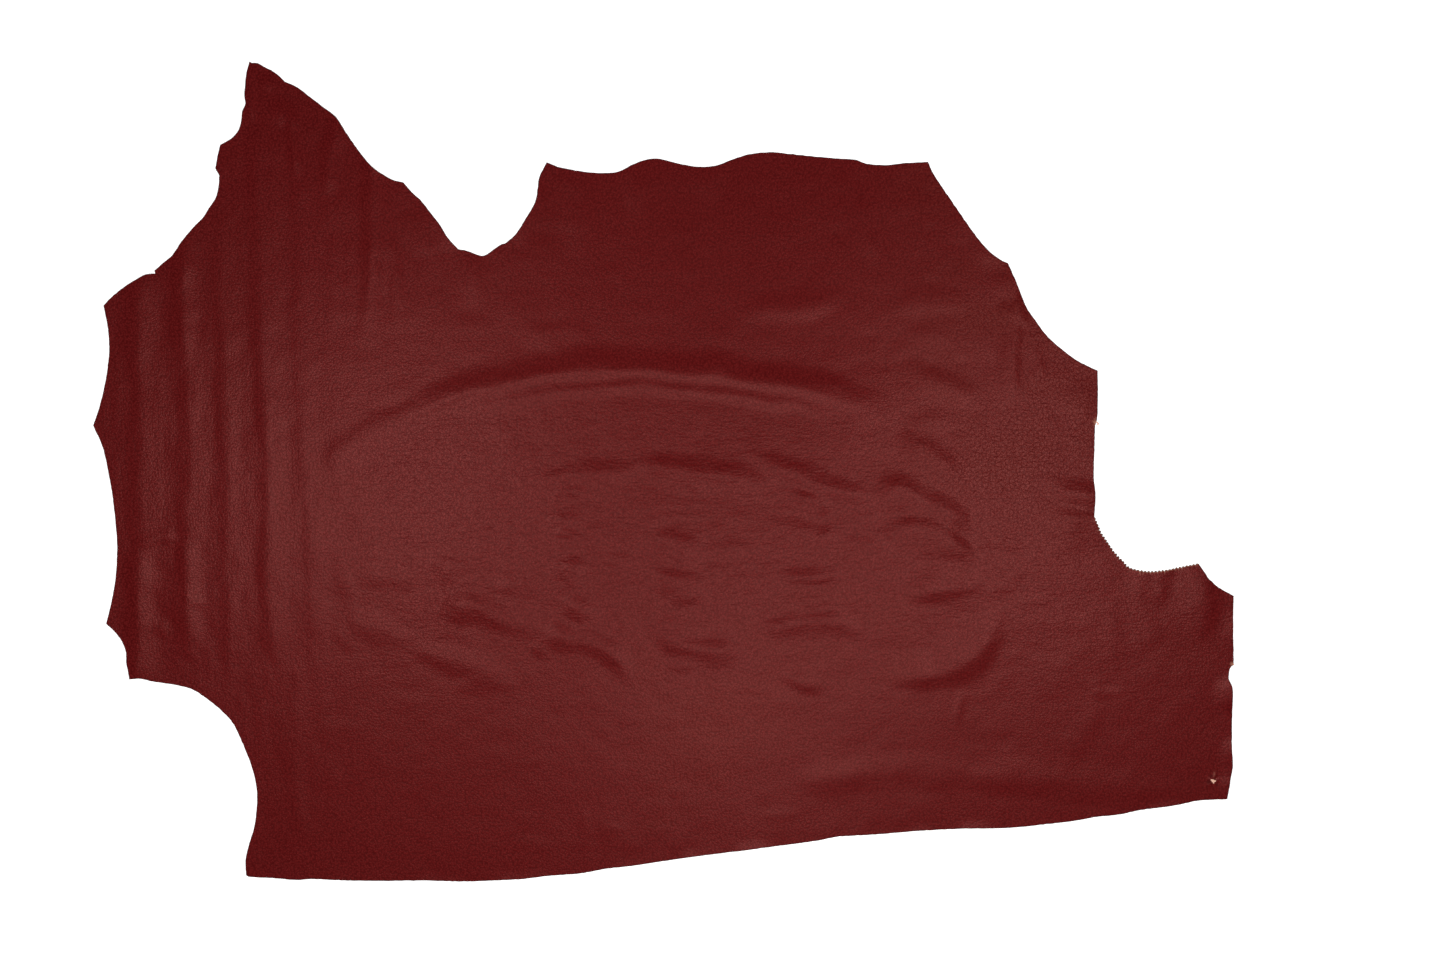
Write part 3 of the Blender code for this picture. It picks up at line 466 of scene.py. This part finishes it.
def tear_ring():
    """The torn hole's ragged edge, in plan units, anticlockwise."""
    reach = (2.6, 1.2, 2.1, 1.1, 2.3, 1.0, 2.9, 1.3, 1.9, 1.1)
    turn = np.linspace(0, 2 * math.pi, len(reach), endpoint=False)
    out = np.array(reach) * 0.72
    return np.stack(
        [TEAR_AT[0] + out * np.cos(turn), TEAR_AT[1] + 0.8 * out * np.sin(turn)], axis=1
    )


def inset(ring, by, flags):
    """The ring moved inwards, with the pinked stretch evened out first."""
    line = ring.copy()
    for _ in range(6):
        even = 0.25 * np.roll(line, 1, axis=0) + 0.5 * line + 0.25 * np.roll(line, -1, axis=0)
        line[flags] = even[flags]
    way = np.roll(line, -1, axis=0) - np.roll(line, 1, axis=0)
    way /= np.maximum(np.linalg.norm(way, axis=1), 1e-9)[:, None]
    inward = np.stack([-way[:, 1], way[:, 0]], axis=1)
    amount = np.where(flags, by + 0.9, by)
    return line + inward * amount[:, None]


def triangles(ring, extra_rings, free, hole):
    """Triangles over the ring less the hole: (points, faces)."""
    groups = [ring, *extra_rings, hole, free]
    starts = np.cumsum([0, *map(len, groups)])
    loops = []
    for k in range(1, len(groups) - 1):
        first, count = int(starts[k]), len(groups[k])
        loops += [(first + i, first + (i + 1) % count) for i in range(count)]
    points = np.concatenate(groups)
    out = delaunay_2d_cdt(
        [Vector((px - MIDDLE_X, MIDDLE_Y - py)) for px, py in points],
        loops,
        [list(range(len(ring)))[::-1]],
        1,
        1e-7,
    )
    made = np.array([(v.x + MIDDLE_X, MIDDLE_Y - v.y) for v in out[0]])
    faces = np.array([f for f in out[2] if len(f) == 3])
    middles = made[faces].mean(axis=1)
    faces = faces[~inside(middles, hole)]
    origin = np.array([min(o) if o else -1 for o in out[3]])
    return made, faces, origin, starts


def place(x, y, z):
    return np.stack([(x - MIDDLE_X) * UNIT, (MIDDLE_Y - y) * UNIT, z], axis=1)


# ---------------------------------------------------------------- the sheet


def build_sheet():
    ring, pinked = outline()
    worn = inset(ring, EDGE_ROUND, pinked)
    hole = tear_ring()
    box = ((90.0, 58.0), (1238.0, 886.0))

    i, j, grid = hex_points(FINE, box)
    flat = grid.reshape(-1, 2)
    keep = inside(flat, ring)
    away = edge_distance(flat, worn)
    keep &= away > 1.7
    keep &= np.hypot(*(flat - TEAR_AT).T) > TEAR_REACH
    fine_free = flat[keep]
    # closer set round the tear, where the leather puckers sharply
    i, j, grid = hex_points(1.1, (np.array(TEAR_AT) - TEAR_REACH, np.array(TEAR_AT) + TEAR_REACH))
    close = grid.reshape(-1, 2)
    keep = np.hypot(*(close - TEAR_AT).T) < TEAR_REACH - 0.8
    keep &= edge_distance(close, hole) > 0.45
    keep &= ~inside(close, hole)
    fine_free = np.concatenate([fine_free, close[keep]])
    i, j, grid = hex_points(FINE * 2.1, box)
    under = grid.reshape(-1, 2)
    keep = inside(under, ring)
    keep &= edge_distance(under, ring) > 2.6
    keep &= edge_distance(under, hole) > 1.6
    keep &= ~inside(under, hole)
    under_free = under[keep]

    top, top_faces, top_from, starts = triangles(ring, [worn], fine_free, hole)
    low, low_faces, low_from, low_starts = triangles(ring, [], under_free, hole)

    top_z = height(*top.T)
    low_z = height(*low.T)
    on_ring = (top_from >= 0) & (top_from < starts[1])
    on_worn = (top_from >= starts[1]) & (top_from < starts[2])
    on_hole = (top_from >= starts[2]) & (top_from < starts[3])
    rise = np.full(len(top), THICKNESS)
    rise[on_ring] = 0.42 * THICKNESS
    rise[on_worn] = 0.97 * THICKNESS
    rise[on_hole] = 0.7 * THICKNESS
    # the tear pulls the leather round it up a little, in short rays
    dx, dy = top[:, 0] - TEAR_AT[0], top[:, 1] - TEAR_AT[1]
    r, a = np.hypot(dx, dy), np.arctan2(dy, dx)
    rays = 0.5 + 0.5 * np.cos(5 * a + 0.8)
    top_z = top_z + 0.0009 * rays * np.exp(-((r - 2.5) / 3.2) ** 2)

    points = np.concatenate(
        [place(*top.T, top_z + rise), place(*low.T, low_z)]
    )
    n = len(top)

    def facing(faces, pts, up):
        a, b, c = (pts[faces[:, k]] for k in range(3))
        turn = (b[:, 0] - a[:, 0]) * (c[:, 1] - a[:, 1]) - (b[:, 1] - a[:, 1]) * (c[:, 0] - a[:, 0])
        # plan units run down, so a positive turn there is a negative one in space
        wrong = (turn > 0) if up else (turn < 0)
        out = faces.copy()
        out[wrong] = out[wrong][:, ::-1]
        return out

    top_faces = facing(top_faces, top, True)
    low_faces = facing(low_faces, low, False) + n

    def rim(group_start, group_count, low_start):
        at_top = {int(o) - group_start: k for k, o in enumerate(top_from) if group_start <= o < group_start + group_count}
        at_low = {int(o) - low_start: k for k, o in enumerate(low_from) if low_start <= o < low_start + group_count}
        quads = []
        for k in range(group_count):
            m = (k + 1) % group_count
            quads.append((at_top[k], at_low[k] + n, at_low[m] + n, at_top[m]))
        return quads

    outer = rim(0, len(ring), 0)
    inner = [q[::-1] for q in rim(int(starts[2]), len(hole), int(low_starts[1]))]

    mesh = bpy.data.meshes.new("leather_sheet")
    faces = [tuple(map(int, f)) for f in top_faces] + [tuple(map(int, f)) for f in low_faces] + outer + inner
    mesh.from_pydata(points.tolist(), [], faces)
    mesh.validate()

    # the grain side ends in a crisp line where the worn edge begins
    ends = np.zeros(2 * len(mesh.edges), np.int32)
    mesh.edges.foreach_get("vertices", ends)
    crisp = np.zeros(len(points), bool)
    crisp[:n] = on_worn
    line = mesh.attributes.new("sharp_edge", "BOOLEAN", "EDGE")
    line.data.foreach_set("value", crisp[ends.reshape(-1, 2)].all(axis=1))

    slots = np.zeros(len(faces), int)
    toothed = np.zeros(n, bool)
    toothed[on_ring] = pinked[top_from[on_ring]]
    # the grain side's outermost strip takes the dark cut-edge colour: painted shade along the rounded rim, except at
    # the pinks
    touches = on_ring[top_faces].any(axis=1) & ~toothed[top_faces].any(axis=1)
    slots[: len(top_faces)][touches] = 1
    slots[len(top_faces) : len(top_faces) + len(low_faces)] = 2
    slots[len(top_faces) + len(low_faces) :] = 1
    mesh.polygons.foreach_set("material_index", slots.astype(np.int32))
    mesh.polygons.foreach_set("use_smooth", np.ones(len(faces), bool))

    # where the cut edge is raw and pale: the pinked bay, the tear, the torn tag
    x = points[:, 0] / UNIT + MIDDLE_X
    y = MIDDLE_Y - points[:, 1] / UNIT
    bay = np.clip(1 - edge_distance(np.stack([x, y], axis=1), ring[pinked]) / 0.7, 0, 1)
    bay *= np.clip(0.35 + (x - 1128) / 40, 0.3, 0.8)
    raw = np.maximum.reduce(
        [
            bay * (y > 512) * (y < 575) * (x > 1090),
            blob(x, y, *TEAR_AT, 1.35, 1.15),
            0.16 * blob(x, y, 1214.0, 774.0, 0.8, 2.2),
            blob(x, y, 1097.2, 423.4, 2.2, 3.0),
            0.6 * blob(x, y, 1233.4, 664.6, 1.6, 2.0),
        ]
    )
    layer = mesh.attributes.new("raw_fibre", "FLOAT", "POINT")
    layer.data.foreach_set("value", raw.astype(np.float32))

    # painted shadow beside the tear: the leather round it is darkened and its sheen dulled
    tear_shadow = (
        blob(x, y, 1208.8, 781.8, 2.4, 1.9)
        + 0.8 * blob(x, y, 1216.4, 785.0, 1.4, 1.6)
        + 0.7 * blob(x, y, 1211.6, 775.6, 1.2, 1.6)
    )
    layer = mesh.attributes.new("tear_shadow", "FLOAT", "POINT")
    layer.data.foreach_set("value", np.clip(tear_shadow, 0, 1).astype(np.float32))
    return mesh, ring, hole


# ---------------------------------------------------------------- materials


class Nodes:
    """A short way to write node trees."""

    def __init__(self, name):
        self.material = bpy.data.materials.new(name)
        self.material.use_nodes = True
        self.tree = self.material.node_tree
        self.shader = self.tree.nodes["Principled BSDF"]
        coords = self.tree.nodes.new("ShaderNodeTexCoord")
        self.place = coords.outputs["Object"]

    def node(self, kind, **settings):
        made = self.tree.nodes.new(kind)
        for key, value in settings.items():
            setattr(made, key, value)
        return made

    def join(self, source, target):
        self.tree.links.new(source, target)

    def stretch(self, x, y, z=1.0, turn=0.0):
        made = self.node("ShaderNodeMapping")
        made.inputs["Scale"].default_value = (x, y, z)
        made.inputs["Rotation"].default_value = (0, 0, turn)
        self.join(self.place, made.inputs["Vector"])
        return made.outputs[0]

    def noise(self, scale, detail=2.0, rough=0.5, vector=None, warp=0.0, flat=True):
        made = self.node("ShaderNodeTexNoise", noise_dimensions="2D" if flat else "3D")
        made.inputs["Scale"].default_value = scale
        made.inputs["Detail"].default_value = detail
        made.inputs["Roughness"].default_value = rough
        made.inputs["Distortion"].default_value = warp
        self.join(vector or self.place, made.inputs["Vector"])
        return made.outputs["Fac"]

    def cells(self, scale, feature="F1", vector=None, random=1.0):
        made = self.node("ShaderNodeTexVoronoi", feature=feature, voronoi_dimensions="2D")
        made.inputs["Scale"].default_value = scale
        made.inputs["Randomness"].default_value = random
        self.join(vector or self.place, made.inputs["Vector"])
        return made.outputs["Distance"]

    def ramp(self, value, low, high, out_low=0.0, out_high=1.0):
        made = self.node("ShaderNodeMapRange", interpolation_type="SMOOTHSTEP")
        self.join(value, made.inputs["Value"])
        for key, number in (
            ("From Min", low),
            ("From Max", high),
            ("To Min", out_low),
            ("To Max", out_high),
        ):
            made.inputs[key].default_value = number
        return made.outputs["Result"]

    def warped(self, scale, reach):
        """The place, pushed about by noise, so that cells aren't even."""
        wobble = self.node("ShaderNodeTexNoise", noise_dimensions="2D")
        wobble.inputs["Scale"].default_value = scale
        wobble.inputs["Detail"].default_value = 0
        self.join(self.place, wobble.inputs["Vector"])
        moved = self.node("ShaderNodeVectorMath", operation="MULTIPLY_ADD")
        self.join(wobble.outputs["Color"], moved.inputs[0])
        moved.inputs[1].default_value = (reach, reach, reach)
        self.join(self.place, moved.inputs[2])
        return moved.outputs[0]

    def sum(self, a, b, operation="ADD"):
        made = self.node("ShaderNodeMath", operation=operation)
        for item, socket in zip((a, b), made.inputs):
            if isinstance(item, (int, float)):
                socket.default_value = item
            else:
                self.join(item, socket)
        return made.outputs[0]

    def times(self, a, b):
        return self.sum(a, b, "MULTIPLY")

    def mix(self, factor, a, b):
        made = self.node("ShaderNodeMix", data_type="RGBA")
        if isinstance(factor, (int, float)):
            made.inputs["Factor"].default_value = factor
        else:
            self.join(factor, made.inputs["Factor"])
        for item, key in ((a, "A"), (b, "B")):
            socket = [s for s in made.inputs if s.name == key and s.type == "RGBA"][0]
            if isinstance(item, tuple):
                socket.default_value = (*item, 1)
            else:
                self.join(item, socket)
        return [s for s in made.outputs if s.type == "RGBA"][0]

    def bump(self, height, distance, strength=1.0, after=None):
        made = self.node("ShaderNodeBump")
        made.inputs["Strength"].default_value = strength
        made.inputs["Distance"].default_value = distance
        self.join(height, made.inputs["Height"])
        if after is not None:
            self.join(after, made.inputs["Normal"])
        return made.outputs["Normal"]

    def attribute(self, name):
        made = self.node("ShaderNodeAttribute", attribute_name=name)
        return made.outputs["Fac"]


def grain_leather():
    """The finished grain side: burgundy, pebbled, with a low satin sheen."""
    n = Nodes("grain_leather")
    shader = n.shader
    moved = n.warped(300, 0.0012)
    pebble = n.ramp(n.cells(300, "F1", moved), 0.08, 0.75, 1.0, 0.0)
    fine = n.noise(700, 1.0)

    # where the grain is coarse and broken (shoulder), where it is crinkled
    # sideways (middle) and where upright (hind end)
    split = n.node("ShaderNodeSeparateXYZ")
    n.join(n.place, split.inputs[0])
    x, y = split.outputs["X"], split.outputs["Y"]
    cloud = n.noise(3.2, 3, 0.6)
    shoulder = n.times(n.ramp(x, 0.28, 0.56), n.ramp(y, -0.22, 0.02))
    shoulder = n.times(shoulder, n.ramp(cloud, 0.30, 0.55))
    hind = n.ramp(x, -0.64, -0.40, 1.0, 0.0)
    belt = n.times(n.ramp(y, -0.50, -0.16), n.ramp(y, 0.02, 0.24, 1.0, 0.0))
    middle = n.times(belt, n.sum(1.0, hind, "SUBTRACT"))
    veins = n.ramp(n.cells(120, "DISTANCE_TO_EDGE", moved), 0.0, 0.09, 1.0, 0.0)
    sideways = n.noise(100, 2.0, 0.65, n.stretch(1, 3.0))
    upright = n.noise(100, 2.0, 0.65, n.stretch(3.0, 1))
    strokes = n.ramp(n.noise(60, 1.0, 0.5, n.stretch(1, 3.2)), 0.50, 0.66)
    mottle = n.noise(210, 1.5, 0.6)

    grain = n.sum(n.times(pebble, 0.9), n.times(fine, 0.9))
    grain = n.sum(grain, n.times(n.times(veins, shoulder), -1.2))
    crinkle = n.sum(n.times(sideways, n.sum(n.times(middle, 1.5), 0.8)), n.times(upright, n.times(hind, 2.0)))
    grain = n.sum(n.sum(grain, crinkle), n.times(strokes, n.times(middle, 0.9)))

    # colour: varies slowly over the hide; the grain's valleys are darker, partly dye lying deeper there and partly
    # painted shade in the hollows
    deep, mid, worn = (0.096, 0.0044, 0.0048), (0.105, 0.0055, 0.0058), (0.142, 0.0118, 0.0114)
    colour = n.mix(n.ramp(cloud, 0.3, 0.7), deep, mid)
    # painted sheen: fine flecks lightened towards a greyer red, for the light on the grain's small relief
    colour = n.mix(n.times(n.ramp(fine, 0.38, 0.64), 0.85), colour, worn)
    colour = n.mix(n.times(n.ramp(mottle, 0.40, 0.60, 1.0, 0.0), 0.42), colour, (0.064, 0.0024, 0.0028))
    # painted shade along the crinkle strokes over the middle, on flanks turned from the lamps
    colour = n.mix(n.times(n.times(strokes, middle), 0.35), colour, (0.066, 0.0026, 0.0030))
    colour = n.mix(n.times(shoulder, 0.5), colour, (0.106, 0.0120, 0.0090))
    hollow = n.sum(1.0, pebble, "SUBTRACT")
    # painted shade in the pebble hollows, partly dye lying deeper there
    colour = n.mix(n.times(hollow, 0.85), colour, (0.058, 0.0020, 0.0024))
    # painted shadow beside the tear
    colour = n.mix(n.times(n.attribute("tear_shadow"), 0.75), colour, (0.026, 0.0015, 0.0018))
    colour = n.mix(n.times(n.attribute("raw_fibre"), 0.95), colour, (0.62, 0.30, 0.20))
    n.join(colour, shader.inputs["Base Color"])
    rough = n.sum(n.sum(n.times(hollow, 0.06), 0.265), n.times(n.attribute("tear_shadow"), 0.35))
    n.join(rough, shader.inputs["Roughness"])
    shader.inputs["Specular IOR Level"].default_value = 0.098
    shader.inputs["Specular Tint"].default_value = (1.0, 0.37, 0.33, 1.0)
    n.join(n.bump(grain, 0.000086, 1.0), shader.inputs["Normal"])
    return n.material


def cut_edge():
    """The cut edge: dark, partly the dyed edge and partly painted shade where it also covers the grain side's rounded
    rim; pale raw fibre at pinks and tears.
    """
    n = Nodes("cut_edge")
    fibre = n.noise(1400, 3, 0.6, n.stretch(1, 1, 0.3), flat=False)
    dark = n.mix(fibre, (0.030, 0.006, 0.007), (0.075, 0.018, 0.017))
    pale = n.mix(fibre, (0.48, 0.22, 0.15), (0.72, 0.42, 0.31))
    n.join(n.mix(n.ramp(n.attribute("raw_fibre"), 0.3, 0.8), dark, pale), n.shader.inputs["Base Color"])
    n.join(n.sum(n.sum(fibre, 0.15, "MULTIPLY"), 0.72), n.shader.inputs["Roughness"])
    n.join(n.bump(fibre, 0.00025, 0.9), n.shader.inputs["Normal"])
    return n.material


def flesh_side():
    """The flesh side: undyed pinkish tan suede with loose fibre."""
    n = Nodes("flesh_suede")
    cloud = n.ramp(n.noise(5, 4, 0.6), 0.3, 0.7)
    nap = n.noise(420, 5, 0.7, warp=0.6)
    strands = n.noise(900, 3, 0.6, n.stretch(1, 0.25, 1, 0.5), warp=0.4)
    colour = n.mix(cloud, (0.40, 0.19, 0.13), (0.50, 0.27, 0.19))
    colour = n.mix(n.sum(n.ramp(nap, 0.35, 0.7), 0.45, "MULTIPLY"), colour, (0.30, 0.11, 0.085))
    n.join(colour, n.shader.inputs["Base Color"])
    n.join(n.sum(n.sum(nap, 0.12, "MULTIPLY"), 0.82), n.shader.inputs["Roughness"])
    n.shader.inputs["Sheen Weight"].default_value = 0.25
    n.shader.inputs["Sheen Roughness"].default_value = 0.5
    n.join(n.bump(n.sum(nap, strands), 0.0005, 0.8), n.shader.inputs["Normal"])
    return n.material


def raw_fibre():
    """Pale torn fibre."""
    n = Nodes("raw_fibre")
    fibre = n.noise(1600, 3, 0.6, flat=False)
    n.join(n.mix(fibre, (0.60, 0.28, 0.19), (0.86, 0.56, 0.43)), n.shader.inputs["Base Color"])
    n.join(n.sum(n.sum(fibre, 0.1, "MULTIPLY"), 0.8), n.shader.inputs["Roughness"])
    n.join(n.bump(fibre, 0.0003, 0.8), n.shader.inputs["Normal"])
    return n.material


# ---------------------------------------------------------------- small torn bits


def strip(points, widths, lift, thick=0.0004):
    """A short curled strip of leather fibre along points in plan units."""
    points = np.array(points, float)
    lift = np.array(lift, float)
    way = np.gradient(points, axis=0)
    way /= np.linalg.norm(way, axis=1)[:, None]
    out = np.stack([way[:, 1], -way[:, 0]], axis=1)
    rows = []
    for side in (-1, 1):
        for up in (0, thick):
            at = points + side * out * np.array(widths)[:, None] / 2
            rows.append(place(*at.T, lift + up))
    rows = np.stack(rows)  # left low, left high, right low, right high
    count = len(points)
    verts = rows.transpose(1, 0, 2).reshape(-1, 3)
    faces = []
    for k in range(count - 1):
        a, b = 4 * k, 4 * (k + 1)
        faces += [
            (a, a + 1, b + 1, b),
            (a + 1, a + 3, b + 3, b + 1),
            (a + 3, a + 2, b + 2, b + 3),
            (a + 2, a, b, b + 2),
        ]
    faces += [(0, 2, 3, 1), (4 * count - 4, 4 * count - 3, 4 * count - 1, 4 * count - 2)]
    return verts, faces


def torn_bits():
    """The flap turned out of the tear, and the tag at the shank's snag."""
    tx, ty = TEAR_AT
    top = 0.0019
    strips = [
        strip([(tx - 2.9, ty - 1.5), (tx - 1.6, ty - 0.9), (tx - 0.3, ty - 0.2), (tx + 0.9, ty + 0.6)], (0.7, 1.7, 2.6, 2.2), (top, top + 0.0004, top + 0.0006, top + 0.0002)),
        strip([(tx + 0.2, ty + 0.2), (tx + 1.4, ty + 0.1), (tx + 2.6, ty - 0.3)], (2.0, 1.5, 0.6), (top + 0.0002, top + 0.0007, top + 0.0005)),
        strip([(tx - 0.2, ty + 0.3), (tx + 0.1, ty + 1.5), (tx + 0.4, ty + 2.5)], (1.9, 1.3, 0.5), (top, top + 0.0003, top + 0.0001)),
        strip([(1095.9, 421.6), (1097.3, 422.8), (1098.2, 424.0), (1097.2, 425.4)], (0.8, 1.5, 1.6, 0.7), (0.0012, 0.0015, 0.0014, 0.0009)),
        strip([(1232.6, 663.6), (1233.7, 664.6), (1234.3, 665.4)], (0.7, 0.9, 0.5), (0.0012, 0.0014, 0.0010)),
    ]
    verts, faces = [], []
    for points, made in strips:
        faces += [tuple(i + len(verts) for i in f) for f in made]
        verts += points.tolist()
    mesh = bpy.data.meshes.new("torn_fibre")
    mesh.from_pydata(verts, [], faces)
    mesh.validate()
    mesh.update()
    return mesh


# ---------------------------------------------------------------- scene

mesh, ring, hole = build_sheet()
for material in (grain_leather(), cut_edge(), flesh_side()):
    mesh.materials.append(material)
sheet = bpy.data.objects.new("leather_sheet", mesh)
bpy.context.scene.collection.objects.link(sheet)
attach(sheet, "root")
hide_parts("hide")

bits_mesh = torn_bits()
bits_mesh.materials.append(raw_fibre())
bits = bpy.data.objects.new("torn_fibre", bits_mesh)
bpy.context.scene.collection.objects.link(bits)
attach(bits, "root")

# floor
bpy.ops.mesh.primitive_plane_add(size=14, location=(0, 0, -0.0004))
floor = bpy.context.object
floor.name = "floor"
paper = Nodes("pale_floor")
paper.shader.inputs["Base Color"].default_value = (0.95, 0.95, 0.95, 1)
paper.shader.inputs["Emission Color"].default_value = (1, 1, 1, 1)
paper.shader.inputs["Emission Strength"].default_value = 0.38
paper.shader.inputs["Roughness"].default_value = 0.9
paper.shader.inputs["Specular IOR Level"].default_value = 0.1
floor.data.materials.append(paper.material)

# camera: straight above, the photograph's frame of 1445 by 963 at 1.6 mm each
camera_data = bpy.data.cameras.new("camera")
camera_data.sensor_width = 36
camera_data.lens = 50
camera = bpy.data.objects.new("camera", camera_data)
wide = 1445 * UNIT
away = wide * camera_data.lens / camera_data.sensor_width
camera.location = ((722.5 - MIDDLE_X) * UNIT, (MIDDLE_Y - 481.5) * UNIT, away)
bpy.context.scene.collection.objects.link(camera)
bpy.context.scene.camera = camera


def lamp(name, x, y, z, size, power, colour=(1, 1, 1)):
    """A round softbox, placed from the camera's axis and turned to the hide."""
    data = bpy.data.lights.new(name, "AREA")
    data.shape = "DISK"
    data.size = size
    data.energy = power
    data.color = colour
    made = bpy.data.objects.new(name, data)
    made.location = (camera.location.x + x, camera.location.y + y, z)
    aim = Vector((camera.location.x + 0.3 * x, camera.location.y + 0.3 * y, 0))
    made.rotation_euler = (aim - made.location).to_track_quat("-Z", "Y").to_euler()
    bpy.context.scene.collection.objects.link(made)
    return made


lamp("lamp_left", -1.00, -0.05, 3.2, 0.4, 42)
lamp("lamp_right", 0.95, -0.06, 3.2, 0.4, 44)
lamp("lamp_front", 0.06, -0.56, 3.2, 0.4, 32)

# a dim room with pale walls, which show in the sheen at low angles
world = bpy.data.worlds.new("studio")
world.use_nodes = True
tree = world.node_tree
background = tree.nodes["Background"]
background.inputs["Color"].default_value = (1, 1, 1, 1)
coords = tree.nodes.new("ShaderNodeTexCoord")
split = tree.nodes.new("ShaderNodeSeparateXYZ")
walls = tree.nodes.new("ShaderNodeMapRange")
walls.interpolation_type = "SMOOTHSTEP"
for key, number in (("From Min", 0.15), ("From Max", 0.65), ("To Min", 0.40), ("To Max", 0.03)):
    walls.inputs[key].default_value = number
tree.links.new(coords.outputs["Generated"], split.inputs[0])
tree.links.new(split.outputs["Z"], walls.inputs["Value"])
tree.links.new(walls.outputs["Result"], background.inputs["Strength"])
bpy.context.scene.world = world
bpy.context.scene.view_settings.view_transform = "Standard"
